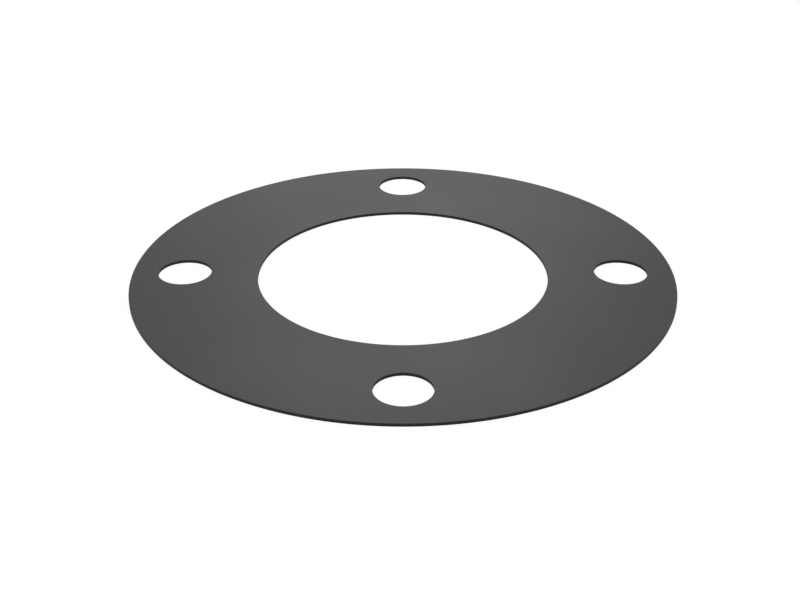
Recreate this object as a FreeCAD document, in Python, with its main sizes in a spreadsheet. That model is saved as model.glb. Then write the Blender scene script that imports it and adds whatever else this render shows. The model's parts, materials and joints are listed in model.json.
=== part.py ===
"""Full-face gasket for the bolted flange of a water line elbow.

The gasket is one piece: a flat ring cut in a single stroke from black rubber
sheet, with square edges, a large bore for the water and a circle of holes for
the flange bolts. Both faces are sealing faces.

It lies on its lower face. The origin is the middle of that face, +Z runs along
the water line, and one bolt hole lies on +X. All sizes are in millimetres.
"""

import FreeCAD, Part

import os

import Sketcher

# Each row is the name of a size, its value and what it measures. The sizes add up from
# the bore outwards, so a bolt hole keeps its lands when any of them changes.
DIMENSIONS = (
    ("bore_diameter", 73.0, "across the opening for the water, as wide as a 2 1/2 inch pipe outside"),
    ("inner_land", 11.9, "width of sheet between the bore and a bolt hole, which seals the joint"),
    ("bolt_hole_diameter", 13.4, "across each bolt hole, with room for a 1/2 inch or 12 mm bolt"),
    ("outer_land", 6.45, "width of sheet between a bolt hole and the outer edge"),
    ("bolt_hole_count", 4, "number of bolt holes, evenly spaced"),
    ("sheet_thickness", 0.8, "thickness of the rubber sheet, a nominal 1/32 inch"),
)

# What each circle of the drawing measures across, as a formula on those sizes.
BORE = "Dimensions.bore_diameter"
BOLT_HOLE = "Dimensions.bolt_hole_diameter"
BOLT_CIRCLE = f"{BORE} + 2 * Dimensions.inner_land + {BOLT_HOLE}"
OUTER_EDGE = f"{BOLT_CIRCLE} + {BOLT_HOLE} + 2 * Dimensions.outer_land"

FULL_TURN = 360
SHEET_NAME = "Dimensions"
NODE_NAME = "flange_gasket"
PARTS_FOLDER = "parts"

# The numbers by which a sketch knows its own root point, its horizontal axis and the
# middle point of a circle.
ROOT_POINT_NUMBERS = (-1, 1)
HORIZONTAL_AXIS_NUMBER = -1
MIDDLE_POINT_NUMBER = 3


def add_dimensions(doc):
    """Write every driving size into a spreadsheet, one row and one alias each."""
    sheet = doc.addObject("Spreadsheet::Sheet", SHEET_NAME)
    sheet.set("A1", "size")
    sheet.set("B1", "value")
    sheet.set("C1", "what it measures")
    for row, (name, value, meaning) in enumerate(DIMENSIONS, start=2):
        sheet.set(f"A{row}", name)
        sheet.set(f"B{row}", str(value))
        sheet.set(f"C{row}", meaning)
        sheet.setAlias(f"B{row}", name)
    doc.recompute()


def origin_feature(body, role):
    """Return one of the body's own origin planes or axes."""
    return next(feature for feature in body.Origin.OriginFeatures if feature.Role == role)


def add_sketch(body, name):
    """Add an empty sketch on the plane of the lower sealing face."""
    sketch = body.newObject("Sketcher::SketchObject", name)
    sketch.AttachmentSupport = [(origin_feature(body, "XY_Plane"), "")]
    sketch.MapMode = "FlatFace"
    return sketch


def add_circle(sketch, name, formula, middle=FreeCAD.Vector(), construction=False):
    """Draw a circle whose diameter follows a formula, name that size and return its number."""
    diameter = sketch.evalExpression(formula)
    outline = Part.Circle(middle, FreeCAD.Vector(0, 0, 1), diameter / 2)
    circle = sketch.addGeometry(outline, construction)
    constraint = sketch.addConstraint(Sketcher.Constraint("Diameter", circle, diameter))
    sketch.renameConstraint(constraint, name)
    sketch.setExpression(f"Constraints.{name}", formula)
    return circle


def fix_to_root(sketch, circle):
    """Hold a circle's middle at the sketch's root point, on the axis of the bore."""
    sketch.addConstraint(
        Sketcher.Constraint("Coincident", circle, MIDDLE_POINT_NUMBER, *ROOT_POINT_NUMBERS)
    )


def add_ring(body):
    """Pad the ring between its outer edge and its bore to the thickness of the sheet."""
    outline = add_sketch(body, "RingOutline")
    fix_to_root(outline, add_circle(outline, "outside_diameter", OUTER_EDGE))
    fix_to_root(outline, add_circle(outline, "bore_diameter", BORE))
    ring = body.newObject("PartDesign::Pad", "Ring")
    ring.Profile = outline
    ring.setExpression("Length", f"{SHEET_NAME}.sheet_thickness")
    return ring


def add_bolt_holes(body):
    """Punch one bolt hole on +X through the ring and repeat it round the bolt circle."""
    outline = add_sketch(body, "BoltHoleOutline")
    bolt_circle = add_circle(outline, "bolt_circle_diameter", BOLT_CIRCLE, construction=True)
    fix_to_root(outline, bolt_circle)
    middle = FreeCAD.Vector(outline.evalExpression(BOLT_CIRCLE) / 2, 0, 0)
    circle = add_circle(outline, "bolt_hole_diameter", BOLT_HOLE, middle)
    for line in (bolt_circle, HORIZONTAL_AXIS_NUMBER):
        outline.addConstraint(
            Sketcher.Constraint("PointOnObject", circle, MIDDLE_POINT_NUMBER, line)
        )

    hole = body.newObject("PartDesign::Pocket", "BoltHole")
    hole.Profile = outline
    hole.Type = "ThroughAll"
    # The outline lies on the lower face, so the cut has to run upwards.
    hole.Reversed = True

    holes = body.newObject("PartDesign::PolarPattern", "BoltHoles")
    holes.Originals = [hole]
    holes.Axis = (origin_feature(body, "Z_Axis"), [""])
    holes.Angle = FULL_TURN
    holes.setExpression("Occurrences", f"{SHEET_NAME}.bolt_hole_count")
    body.Tip = holes
    return holes


def add_gasket(doc):
    """Build the gasket as one body and check that its bolt holes were really cut."""
    gasket = doc.addObject("PartDesign::Body", "Gasket")
    gasket.Label = NODE_NAME
    gasket.Placement = FreeCAD.Placement()
    ring = add_ring(gasket)
    doc.recompute()
    holes = add_bolt_holes(gasket)
    doc.recompute()
    if holes.Shape.Volume >= ring.Shape.Volume:
        raise RuntimeError("the bolt holes took nothing off the ring")
    return gasket


def check(doc, nodes):
    """Stop if any object failed to recompute or any node has no valid closed solid."""
    for item in doc.Objects:
        if {"Invalid", "Error"} & set(item.State):
            raise RuntimeError(f"{item.Name} did not recompute: {item.State}")
    for node in nodes:
        if node.Shape.isNull() or not node.Shape.isValid() or not node.Shape.Solids:
            raise RuntimeError(f"{node.Label} has no valid solid")


def export(nodes):
    """Write each node to its own STEP file and print its size."""
    os.makedirs(PARTS_FOLDER, exist_ok=True)
    for node in nodes:
        node.Shape.exportStep(os.path.join(PARTS_FOLDER, f"{node.Label}.step"))
        box = node.Shape.BoundBox
        print(
            f"{node.Label}: {box.XLength:.2f} x {box.YLength:.2f} x {box.ZLength:.2f} mm, "
            f"{node.Shape.Volume:.1f} mm3, {len(node.Shape.Solids)} solid"
        )


def main():
    """Build the document, check it and write the part."""
    doc = FreeCAD.newDocument("WaterLineElbowGasket")
    add_dimensions(doc)
    nodes = [add_gasket(doc)]
    check(doc, nodes)
    export(nodes)


main()
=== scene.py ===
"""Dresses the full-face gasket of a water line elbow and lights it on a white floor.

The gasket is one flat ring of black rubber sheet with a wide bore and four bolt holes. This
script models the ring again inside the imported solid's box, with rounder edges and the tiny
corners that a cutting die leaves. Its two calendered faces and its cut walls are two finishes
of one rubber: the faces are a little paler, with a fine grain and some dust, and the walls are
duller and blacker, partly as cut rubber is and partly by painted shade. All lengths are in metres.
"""

import json
import logging
import math
from collections.abc import Callable, Iterable
from dataclasses import dataclass
from enum import Enum
from typing import Any

import bmesh
import bpy
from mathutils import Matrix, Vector


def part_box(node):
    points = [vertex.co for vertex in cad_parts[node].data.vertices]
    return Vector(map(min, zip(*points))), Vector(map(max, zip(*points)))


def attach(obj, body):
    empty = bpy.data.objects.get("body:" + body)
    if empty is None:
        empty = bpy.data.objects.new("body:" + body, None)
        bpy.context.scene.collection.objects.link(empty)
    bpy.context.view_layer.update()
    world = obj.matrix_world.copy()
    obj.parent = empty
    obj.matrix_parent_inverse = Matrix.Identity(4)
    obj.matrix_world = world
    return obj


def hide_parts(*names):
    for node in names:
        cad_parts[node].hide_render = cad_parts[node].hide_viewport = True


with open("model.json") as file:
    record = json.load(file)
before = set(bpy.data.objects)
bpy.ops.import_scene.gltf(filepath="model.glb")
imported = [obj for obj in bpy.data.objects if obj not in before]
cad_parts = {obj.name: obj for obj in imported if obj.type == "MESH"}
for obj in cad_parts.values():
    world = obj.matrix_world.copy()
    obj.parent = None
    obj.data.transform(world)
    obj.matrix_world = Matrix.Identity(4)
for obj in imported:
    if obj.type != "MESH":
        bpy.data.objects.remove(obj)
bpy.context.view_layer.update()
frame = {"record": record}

log = logging.getLogger("gasket")

# What one node hands on to another: a number, a colour, a place, a normal or a shader.
Socket = bpy.types.NodeSocket

MILLIMETRE = 0.001
FULL_TURN = 2 * math.pi
GASKET_NODE = "flange_gasket"
BODY = "root"

# How far a face may lean and still count as level or as upright.
LEAN = math.radians(5)

# The middle part of an even noise, which holds nearly all of its blots.
NOISE_LOW = 0.3
NOISE_HIGH = 0.7


class Surface(Enum):
    """The two surfaces of the rubber, by the number of their material slot."""

    CALENDERED_FACE = 0
    CUT_WALL = 1


@dataclass(frozen=True)
class GasketSizes:
    """The gasket's real sizes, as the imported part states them."""

    outer_radius: float
    bore_radius: float
    bolt_circle_radius: float
    bolt_hole_radius: float
    bolt_hole_count: int
    thickness: float

    @classmethod
    def from_record(cls, record: dict[str, Any]) -> "GasketSizes":
        """Reads the sizes from the record's mounts and from the solid's box.

        Args:
            record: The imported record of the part.

        Returns:
            The sizes, in metres.
        """
        mounts = {mount["name"]: mount["dims"] for mount in record["mounts"]}
        bolts = mounts["flange_bolts"]
        low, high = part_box(GASKET_NODE)
        return cls(
            outer_radius=max(high.x, high.y, -low.x, -low.y),
            bore_radius=mounts["water_bore"]["r_mm"] * MILLIMETRE,
            bolt_circle_radius=bolts["pcd_mm"] / 2 * MILLIMETRE,
            bolt_hole_radius=bolts["hole_r_mm"] * MILLIMETRE,
            bolt_hole_count=bolts["count"],
            thickness=high.z - low.z,
        )

    def bolt_hole_turns(self) -> list[float]:
        """Returns the turn of each bolt hole about the bore, the first one on +X."""
        return [FULL_TURN * number / self.bolt_hole_count for number in range(self.bolt_hole_count)]


@dataclass(frozen=True)
class Blots:
    """An even noise, by the size of its largest blots and the number of finer layers on them."""

    size: float
    layers: float


class NodeBench:
    """Lays out the nodes of one material or world."""

    def __init__(self, tree: bpy.types.NodeTree) -> None:
        """Empties the tree and keeps it.

        Args:
            tree: The node tree to fill.
        """
        self.tree = tree
        self.tree.nodes.clear()

    def add(
        self, kind: str, values: dict[str | int, Any] | None = None, **settings: Any
    ) -> bpy.types.Node:
        """Adds one node.

        Args:
            kind: Blender's name for the node's type.
            values: What each input holds, or the socket that it is linked to, by its name or number.
            **settings: What to set on the node itself.

        Returns:
            The new node.
        """
        node = self.tree.nodes.new(kind)
        for name, setting in settings.items():
            setattr(node, name, setting)
        for name, value in (values or {}).items():
            if isinstance(value, Socket):
                self.tree.links.new(value, node.inputs[name])
            else:
                node.inputs[name].default_value = value
        return node

    def place(self) -> Socket:
        """Returns the place on the object, in metres."""
        return self.add("ShaderNodeTexCoord").outputs["Object"]

    def stretched(self, place: Socket, scale: tuple[float, float, float]) -> Socket:
        """Stretches the coordinates.

        Args:
            place: The coordinates.
            scale: How much each of them grows.

        Returns:
            The stretched coordinates.
        """
        return self.add("ShaderNodeMapping", {"Vector": place, "Scale": scale}).outputs["Vector"]

    def moved(self, place: Socket, start: tuple[float, float, float]) -> Socket:
        """Moves the coordinates, so that a noise shows another stretch of its blots.

        Args:
            place: The coordinates.
            start: What their origin becomes.

        Returns:
            The moved coordinates.
        """
        return self.add("ShaderNodeMapping", {"Vector": place, "Location": start}).outputs["Vector"]

    def noise(self, place: Socket, blots: Blots) -> Socket:
        """Adds an even noise.

        Args:
            place: The coordinates that it reads.
            blots: Its blots, with their size in the units of the coordinates.

        Returns:
            Its factor, from 0 to 1 and mostly near a half.
        """
        values = {"Vector": place, "Scale": 1 / blots.size, "Detail": blots.layers}
        return self.add("ShaderNodeTexNoise", values).outputs["Fac"]

    def ramp(self, factor: Socket, ends: tuple[float, float], low: float, high: float) -> Socket:
        """Turns one stretch of a factor into a range of values, which holds past both ends.

        Args:
            factor: The factor.
            ends: Where the stretch starts and ends.
            low: The value at its start.
            high: The value at its end.

        Returns:
            The value.
        """
        start, end = ends
        values = {"Value": factor, "From Min": start, "From Max": end, "To Min": low, "To Max": high}
        return self.add("ShaderNodeMapRange", values).outputs["Result"]

    def spread(self, noise: Socket, low: float, high: float) -> Socket:
        """Spreads the middle part of a noise over a range of values.

        Args:
            noise: The noise.
            low: The value that its low blots take.
            high: The value that its high blots take.

        Returns:
            The spread value.
        """
        return self.ramp(noise, (NOISE_LOW, NOISE_HIGH), low, high)

    def total(self, first: Socket, *others: Socket) -> Socket:
        """Adds up several values.

        Args:
            first: The first value.
            *others: The values that are added to it.

        Returns:
            Their sum.
        """
        for other in others:
            first = self.add("ShaderNodeMath", {0: first, 1: other}, operation="ADD").outputs[0]
        return first

    def bump(self, height: Socket, depth: float) -> Socket:
        """Raises a surface by a height.

        Args:
            height: The height, from 0 to 1.
            depth: What a height of 1 stands for, in metres.

        Returns:
            The bumped normal.
        """
        return self.add("ShaderNodeBump", {"Height": height, "Distance": depth}).outputs["Normal"]

    def coat(self, values: dict[str | int, Any]) -> None:
        """Gives the material the shader of a solid surface.

        Args:
            values: What each input of the shader holds, or the socket that it is linked to.
        """
        shader = self.add("ShaderNodeBsdfPrincipled", values)
        self.add("ShaderNodeOutputMaterial", {"Surface": shader.outputs["BSDF"]})

    def mixed(self, share: Socket, first: bpy.types.Node, second: bpy.types.Node) -> Socket:
        """Mixes two shaders.

        Args:
            share: The share of the second shader.
            first: The shader at a share of 0.
            second: The shader at a share of 1.

        Returns:
            The mixed shader.
        """
        values = {0: share, 1: first.outputs[0], 2: second.outputs[0]}
        return self.add("ShaderNodeMixShader", values).outputs[0]

    def seen(self) -> Socket:
        """Tells the rays that see a backdrop from those that light things.

        Returns:
            1 for a ray that sees the backdrop straight, in gloss or through glass, and else 0.
        """
        path = self.add("ShaderNodeLightPath").outputs
        seen = path["Is Camera Ray"]
        for other in (path["Is Glossy Ray"], path["Is Transmission Ray"]):
            seen = self.add("ShaderNodeMath", {0: seen, 1: other}, operation="MAXIMUM").outputs[0]
        return seen


def new_material(name: str) -> tuple[bpy.types.Material, NodeBench]:
    """Makes a material whose nodes are still to be laid out.

    Args:
        name: Its name.

    Returns:
        The material and the bench for its nodes.
    """
    made = bpy.data.materials.new(name)
    made.use_nodes = True
    return made, NodeBench(made.node_tree)


@dataclass(frozen=True)
class CalenderedRubber:
    """The sheet's two faces: black rubber rolled smooth, dull, finely grained and a little dusty.

    Its faint clouds are a little paler and smoother than the rest. They start at a place of
    their noise where its blots fall much as the clouds of the real sheet do.
    """

    name: str = "calendered_rubber"
    darkest: float = 0.0500
    palest: float = 0.0510
    clouds: Blots = Blots(26.9 * MILLIMETRE, 1.0)
    clouds_start: tuple[float, float, float] = (-0.6974, 0.9506, -0.9396)
    mottle: Blots = Blots(1.2 * MILLIMETRE, 2.0)
    mottle_tone: float = 0.0014
    dust: Blots = Blots(0.12 * MILLIMETRE, 1.0)
    dust_ends: tuple[float, float] = (0.64, 0.74)
    dust_tone: float = 0.012
    smoothest: float = 0.385
    roughest: float = 0.415
    gloss: float = 0.03
    grain: Blots = Blots(0.12 * MILLIMETRE, 3.0)
    grain_depth: float = 0.006 * MILLIMETRE

    def material(self) -> bpy.types.Material:
        """Lays out this finish.

        Returns:
            A new material with it.
        """
        made, bench = new_material(self.name)
        place = bench.place()
        clouds = bench.noise(bench.moved(place, self.clouds_start), self.clouds)
        rubber = {
            "Base Color": self._tone(bench, place, clouds),
            "Roughness": bench.spread(clouds, self.roughest, self.smoothest),
            "Specular IOR Level": self.gloss,
            "Normal": bench.bump(bench.noise(place, self.grain), self.grain_depth),
        }
        bench.coat(rubber)
        return made

    def _tone(self, bench: NodeBench, place: Socket, clouds: Socket) -> Socket:
        """Lays the mottling and the dust on the clouds of the rubber's own colour.

        Args:
            bench: The bench of the material.
            place: The place on the object.
            clouds: The noise of the clouds.

        Returns:
            The tone of the face.
        """
        cloudy = bench.spread(clouds, self.darkest, self.palest)
        mottled = bench.spread(bench.noise(place, self.mottle), 0.0, self.mottle_tone)
        dusty = bench.ramp(bench.noise(place, self.dust), self.dust_ends, 0.0, self.dust_tone)
        return bench.total(cloudy, mottled, dusty)


@dataclass(frozen=True)
class CutRubberWithPaintedShade:
    """The walls that the die cut: duller rubber with fine marks along the cut, blacker than the faces
    partly as cut rubber is and partly by painted shade.
    """

    name: str = "cut_rubber"
    # The walls' tone is partly the blacker cut rubber and partly painted shade of the upright walls.
    darkest: float = 0.016
    palest: float = 0.021
    smoothest: float = 0.55
    roughest: float = 0.65
    gloss: float = 0.15
    marks: Blots = Blots(0.15 * MILLIMETRE, 2.0)
    mark_stretch: float = 0.1
    mark_depth: float = 0.008 * MILLIMETRE

    def material(self) -> bpy.types.Material:
        """Lays out this finish.

        Returns:
            A new material with it.
        """
        made, bench = new_material(self.name)
        along_the_cut = bench.stretched(bench.place(), (1.0, 1.0, self.mark_stretch))
        marks = bench.noise(along_the_cut, self.marks)
        rubber = {
            "Base Color": bench.spread(marks, self.darkest, self.palest),
            "Roughness": bench.spread(marks, self.roughest, self.smoothest),
            "Specular IOR Level": self.gloss,
            "Normal": bench.bump(marks, self.mark_depth),
        }
        bench.coat(rubber)
        return made


def pick(piece: bpy.types.Object, kind: str, wanted: Callable[[Any], bool]) -> None:
    """Selects exactly the faces or edges that are wanted.

    Args:
        piece: An object in edit mode.
        kind: Either faces or edges.
        wanted: Tells whether a face or an edge is wanted.
    """
    bpy.ops.mesh.select_all(action="DESELECT")
    mesh = bmesh.from_edit_mesh(piece.data)
    chosen = [one for one in getattr(mesh, kind) if wanted(one)]
    for one in chosen:
        one.select_set(True)
    mesh.select_flush_mode()
    bmesh.update_edit_mesh(piece.data, loop_triangles=False, destructive=False)


def is_level(face: bmesh.types.BMFace) -> bool:
    """Tells whether a face lies flat, as the two faces of the sheet do."""
    return abs(face.normal.z) > math.cos(LEAN)


def is_upright(face: bmesh.types.BMFace) -> bool:
    """Tells whether a face stands upright, as the cut walls do between their corners."""
    return abs(face.normal.z) < math.sin(LEAN)


@dataclass
class Gasket:
    """The ring of rubber sheet, laid out in rings of squares with a fitted patch at each bolt hole."""

    sizes: GasketSizes
    face: CalenderedRubber = CalenderedRubber()
    wall: CutRubberWithPaintedShade = CutRubberWithPaintedShade()
    name: str = "gasket_ring"
    columns: int = 384
    patch_columns: int = 18
    land_rows: int = 3
    rim_rows: int = 2
    patch_loops: int = 1
    patch_slack: float = 0.01
    upper_corner: float = 0.025 * MILLIMETRE
    lower_corner: float = 0.015 * MILLIMETRE
    corner_steps: int = 2
    sharpest_smooth_turn: float = math.radians(60)

    @property
    def patch_turn(self) -> float:
        """Half of the turn about the bore that the patch of a bolt hole takes."""
        return FULL_TURN * self.patch_columns / self.columns / 2

    @property
    def patch_reach(self) -> float:
        """Half of the width of a patch along the radius, which makes it about square."""
        return self.sizes.bolt_circle_radius * self.patch_turn

    @property
    def patch_border(self) -> int:
        """The number of edges round the four sides of a patch, which has as many rows as columns."""
        return 4 * self.patch_columns

    def row_radii(self) -> list[float]:
        """Spaces out the rings of edges, as closely as the columns where the patches are.

        Returns:
            The radius of every ring of edges, from the bore to the outer edge.
        """
        middle = self.sizes.bolt_circle_radius
        bands = (
            (self.sizes.bore_radius, middle - self.patch_reach, self.land_rows),
            (middle - self.patch_reach, middle + self.patch_reach, self.patch_columns),
            (middle + self.patch_reach, self.sizes.outer_radius, self.rim_rows),
        )
        radii = [self.sizes.bore_radius]
        for start, end, rows in bands:
            radii += [start + (end - start) * row / rows for row in range(1, rows + 1)]
        return radii

    def build(self) -> bpy.types.Object:
        """Models the gasket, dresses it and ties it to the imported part.

        Returns:
            The finished piece.
        """
        piece = self._lay_rings()
        for turn in self.sizes.bolt_hole_turns():
            self._fit_bolt_hole(piece, turn)
        self._flatten()
        self._thicken()
        self._round_corners(piece)
        self._dress(piece)
        self._smooth(piece)
        bpy.ops.object.mode_set(mode="OBJECT")
        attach(piece, BODY)
        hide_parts(GASKET_NODE)
        return piece

    def _lay_rings(self) -> bpy.types.Object:
        """Starts with the circle of the bore and extrudes it outwards, one ring of edges at a time.

        Returns:
            The new piece, a flat ring on the floor, left in edit mode.
        """
        bpy.ops.object.select_all(action="DESELECT")
        radii = self.row_radii()
        bpy.ops.mesh.primitive_circle_add(vertices=self.columns, radius=radii[0], fill_type="NOTHING")
        piece = bpy.context.object
        piece.name = piece.data.name = self.name
        bpy.ops.object.mode_set(mode="EDIT")
        for inner, outer in zip(radii, radii[1:]):
            growth = outer / inner
            bpy.ops.mesh.extrude_edges_move()
            bpy.ops.transform.resize(value=(growth, growth, 1.0), center_override=(0.0, 0.0, 0.0))
        return piece

    def _in_patch(self, place: Vector, turn: float) -> bool:
        """Tells whether a place belongs to the patch of a bolt hole.

        Args:
            place: The place.
            turn: The turn of the bolt hole about the bore.

        Returns:
            True if the place lies in the patch or on its border.
        """
        across = (math.atan2(place.y, place.x) - turn + math.pi) % FULL_TURN - math.pi
        along = place.to_2d().length / self.sizes.bolt_circle_radius - 1
        return max(abs(across), abs(along)) < self.patch_turn * (1 + self.patch_slack)

    def _fit_bolt_hole(self, piece: bpy.types.Object, turn: float) -> None:
        """Cuts a patch out of the rings and bridges its border to the round edge of a bolt hole.

        The round edge is held above the ring meanwhile, because a bridge between two edges in
        one plane can come out twisted.

        Args:
            piece: The flat ring, in edit mode.
            turn: The turn of the bolt hole about the bore.
        """
        bpy.ops.mesh.select_mode(type="FACE")
        pick(piece, "faces", lambda one: self._in_patch(one.calc_center_median(), turn))
        bpy.ops.mesh.delete(type="FACE")
        bpy.ops.mesh.select_mode(type="EDGE")
        away = self.sizes.bolt_circle_radius
        lift = self.sizes.bolt_hole_radius
        bpy.ops.mesh.primitive_circle_add(
            vertices=self.patch_border,
            radius=self.sizes.bolt_hole_radius,
            fill_type="NOTHING",
            location=(away * math.cos(turn), away * math.sin(turn), lift),
        )
        pick(
            piece,
            "edges",
            lambda one: (one.is_boundary or one.is_wire)
            and all(self._in_patch(end.co, turn) for end in one.verts),
        )
        bpy.ops.mesh.bridge_edge_loops(number_cuts=self.patch_loops, interpolation="LINEAR")

    def _flatten(self) -> None:
        """Presses the bridged ring flat on the floor."""
        bpy.ops.mesh.select_all(action="SELECT")
        bpy.ops.transform.resize(value=(1.0, 1.0, 0.0), center_override=(0.0, 0.0, 0.0))

    def _thicken(self) -> None:
        """Extrudes the flat ring up to the thickness of the sheet and turns its faces outwards."""
        bpy.ops.mesh.select_all(action="SELECT")
        rise = {"value": (0.0, 0.0, self.sizes.thickness)}
        bpy.ops.mesh.extrude_region_move(TRANSFORM_OT_translate=rise)
        bpy.ops.mesh.select_all(action="SELECT")
        bpy.ops.mesh.normals_make_consistent(inside=False)

    def _round_corners(self, piece: bpy.types.Object) -> None:
        """Rounds the corners that the die leaves, more where it went in than where it came out.

        Args:
            piece: The thick ring, in edit mode.
        """
        middle = self.sizes.thickness / 2
        for size, upper in ((self.upper_corner, True), (self.lower_corner, False)):
            bpy.ops.mesh.select_mode(type="EDGE")
            pick(
                piece,
                "edges",
                lambda one: one.calc_face_angle(0.0) > self.sharpest_smooth_turn
                and all((end.co.z > middle) == upper for end in one.verts),
            )
            bpy.ops.mesh.bevel(offset=size, segments=self.corner_steps, affect="EDGES")

    def _dress(self, piece: bpy.types.Object) -> None:
        """Gives the faces and the cut walls each its own finish; the walls' finish is darker partly by
        painted shade.

        The corners take the finish of the faces, because a die draws the sheet's skin round
        them.

        Args:
            piece: The rounded ring, in edit mode.
        """
        for finish in (self.face, self.wall):
            piece.data.materials.append(finish.material())
        bpy.ops.mesh.select_mode(type="FACE")
        for surface in Surface:
            cut = surface is Surface.CUT_WALL
            pick(piece, "faces", lambda one: is_upright(one) == cut)
            piece.active_material_index = surface.value
            bpy.ops.object.material_slot_assign()

    def _smooth(self, piece: bpy.types.Object) -> None:
        """Shades the piece smooth, with corners that start square to the faces and to the walls.

        Args:
            piece: The dressed ring, in edit mode.
        """
        bpy.ops.mesh.select_all(action="SELECT")
        bpy.ops.mesh.faces_shade_smooth()
        pick(piece, "faces", lambda one: is_level(one) or is_upright(one))
        bpy.ops.mesh.set_normals_from_faces()


@dataclass(frozen=True)
class WhiteGround:
    """The floor that the gasket lies on and the white that surrounds it."""

    floor_name: str = "floor"
    floor_finish: str = "white_floor"
    surround_name: str = "white_surround"
    floor_reach: float = 3.0
    floor_colour: float = 0.98
    floor_whiteness: float = 0.95
    white: float = 1.0
    fill: float = 0.78

    def build(self) -> None:
        """Lays the floor and sets the world round it."""
        bpy.ops.object.select_all(action="DESELECT")
        bpy.ops.mesh.primitive_plane_add(size=2 * self.floor_reach)
        floor = bpy.context.object
        floor.name = floor.data.name = self.floor_name
        floor.data.materials.append(self._floor_material())
        bpy.context.scene.world = self._world()

    def _floor_material(self) -> bpy.types.Material:
        """Lays out a matte white that looks nearly even, but keeps the gasket's shadow.

        Returns:
            The new material.
        """
        made, bench = new_material(self.floor_finish)
        grey = (self.floor_colour,) * 3 + (1.0,)
        matte = bench.add("ShaderNodeBsdfDiffuse", {"Color": grey})
        glow = bench.add("ShaderNodeEmission", {"Strength": self.white})
        values = {0: bench.seen(), 1: self.floor_whiteness}
        share = bench.add("ShaderNodeMath", values, operation="MULTIPLY").outputs[0]
        bench.add("ShaderNodeOutputMaterial", {"Surface": bench.mixed(share, matte, glow)})
        return made

    def _world(self) -> bpy.types.World:
        """Lays out a world that fills the shade evenly and is white where it is seen.

        Returns:
            The new world.
        """
        made = bpy.data.worlds.new(self.surround_name)
        made.use_nodes = True
        bench = NodeBench(made.node_tree)
        plain = (1.0, 1.0, 1.0, 1.0)
        fill = bench.add("ShaderNodeBackground", {"Color": plain, "Strength": self.fill})
        white = bench.add("ShaderNodeBackground", {"Color": plain, "Strength": self.white})
        bench.add("ShaderNodeOutputWorld", {"Surface": bench.mixed(bench.seen(), fill, white)})
        return made


@dataclass(frozen=True)
class Standpoint:
    """Where a lamp or a camera stands, seen from the place that it faces."""

    azimuth: float
    elevation: float
    distance: float
    aim: tuple[float, float, float] = (0.0, 0.0, 0.0)

    def take(self, thing: bpy.types.Object) -> None:
        """Brings a lamp or a camera into the scene, stands it here and turns it to face its aim.

        Args:
            thing: The lamp or camera. An azimuth of 0 puts it on the +Y side, and a quarter turn
                on the +X side.
        """
        bpy.context.scene.collection.objects.link(thing)
        level = math.cos(self.elevation)
        way = Vector(
            (level * math.sin(self.azimuth), level * math.cos(self.azimuth), math.sin(self.elevation))
        )
        thing.location = Vector(self.aim) + way * self.distance
        thing.rotation_euler = way.to_track_quat("Z", "Y").to_euler()


@dataclass(frozen=True)
class SoftLamp:
    """A large soft lamp behind the gasket."""

    name: str = "soft_lamp"
    standpoint: Standpoint = Standpoint(azimuth=0.0, elevation=math.radians(35), distance=1.5)
    width: float = 0.5
    height: float = 0.5
    radiance: float = 12.0

    def build(self) -> bpy.types.Object:
        """Sets up the lamp.

        Returns:
            The new lamp, which the camera doesn't see.
        """
        light = bpy.data.lights.new(self.name, "AREA")
        light.shape = "RECTANGLE"
        light.size = self.width
        light.size_y = self.height
        light.energy = self.radiance * math.pi * self.width * self.height
        lamp = bpy.data.objects.new(self.name, light)
        lamp.visible_camera = False
        self.standpoint.take(lamp)
        return lamp


@dataclass(frozen=True)
class Viewpoint:
    """The camera at the photograph's viewing angle."""

    name: str = "camera"
    standpoint: Standpoint = Standpoint(
        azimuth=math.pi,
        elevation=math.radians(28.446),
        distance=307.58 * MILLIMETRE,
        aim=(-0.727 * MILLIMETRE, -13.458 * MILLIMETRE, 0.0),
    )
    lens: float = 56.714
    sensor_width: float = 36.0
    nearest: float = 0.01
    farthest: float = 20.0

    def build(self) -> bpy.types.Object:
        """Sets up the camera.

        Returns:
            The new camera, set as the scene's own.
        """
        data = bpy.data.cameras.new(self.name)
        data.lens = self.lens
        data.sensor_width = self.sensor_width
        data.clip_start = self.nearest
        data.clip_end = self.farthest
        camera = bpy.data.objects.new(self.name, data)
        self.standpoint.take(camera)
        bpy.context.scene.camera = camera
        return camera


def main() -> None:
    """Builds the gasket, the ground, the lamp and the camera, and reports each of them."""
    logging.basicConfig(level=logging.INFO, format="%(name)s: %(message)s")
    bpy.context.scene.view_settings.view_transform = "Standard"
    gasket = Gasket(GasketSizes.from_record(frame["record"])).build()
    log.info("%s has %d faces", gasket.name, len(gasket.data.polygons))
    WhiteGround().build()
    log.info("white ground is laid")
    log.info("%s is up", SoftLamp().build().name)
    log.info("%s is set", Viewpoint().build().name)


if __name__ == "__main__":
    main()
